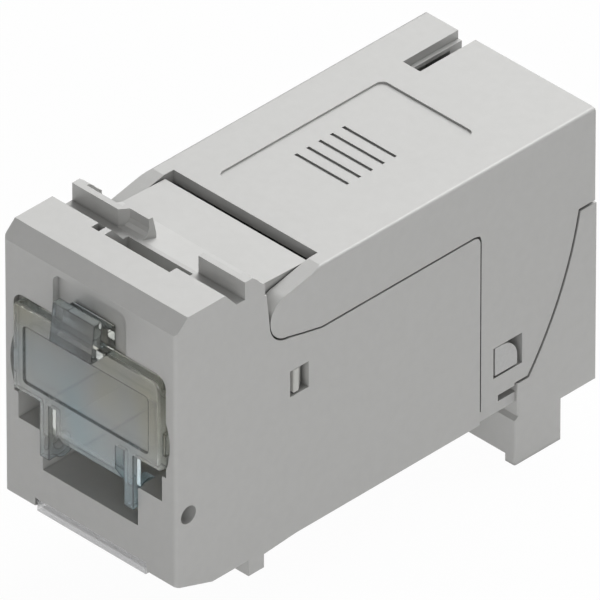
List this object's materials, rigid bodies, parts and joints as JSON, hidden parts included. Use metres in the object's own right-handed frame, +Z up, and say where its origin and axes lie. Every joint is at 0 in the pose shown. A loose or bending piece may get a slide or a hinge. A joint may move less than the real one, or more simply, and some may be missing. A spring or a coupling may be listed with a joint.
{
  "type": "modular jack module",
  "caption": "Snap-in panel jack with a clear hinged dust flap over the plug opening and a hinged cover over its wire terminals.",
  "frame": {"origin": "centre of the panel cut-out, on the plane where the panel's rear face meets the tabs", "axes": "+Z up, -Y out of the front face, +X to the right seen from the front"},
  "size_m": [0.0144, 0.037, 0.0248],
  "materials": {
    "cast_housing": "satin",
    "clear_plastic": "clear",
    "dark_plastic": "matt",
    "pale_plastic": "matt",
    "board": "solder mask",
    "contact_gold": "plated",
    "tinned_bronze": "tinned",
    "spring_steel": "bright"
  },
  "bodies": {
    "housing": {"front_housing": "cast_housing", "rear_housing": "cast_housing", "jack_insert": "pale_plastic", "contact_spring_1": "contact_gold", "contact_spring_2": "contact_gold", "contact_spring_3": "contact_gold", "contact_spring_4": "contact_gold", "contact_spring_5": "contact_gold", "contact_spring_6": "contact_gold", "contact_spring_7": "contact_gold", "contact_spring_8": "contact_gold", "circuit_board": "board", "terminal_block": "pale_plastic", "terminal_blade_1": "tinned_bronze", "terminal_blade_2": "tinned_bronze", "terminal_blade_3": "tinned_bronze", "terminal_blade_4": "tinned_bronze", "terminal_blade_5": "tinned_bronze", "terminal_blade_6": "tinned_bronze", "terminal_blade_7": "tinned_bronze", "terminal_blade_8": "tinned_bronze", "marker_strip": "clear_plastic", "latch_clip": "spring_steel", "cable_spring": "spring_steel"},
    "lid": {"lid": "cast_housing", "wire_presser": "dark_plastic"},
    "dust_flap": {"dust_flap": "clear_plastic"}
  },
  "joints": [
    {"name": "lid_hinge", "type": "hinge", "parent": "housing", "child": "lid", "pos_m": [0, 0.0037, 0.00657], "axis": [1, 0, 0], "range_deg": [0, 80], "deforming": ["latch_clip"]},
    {"name": "flap_hinge", "type": "hinge", "parent": "housing", "child": "dust_flap", "pos_m": [0, -0.00475, -0.00366], "axis": [1, 0, 0], "range_deg": [0, 100]}
  ]
}
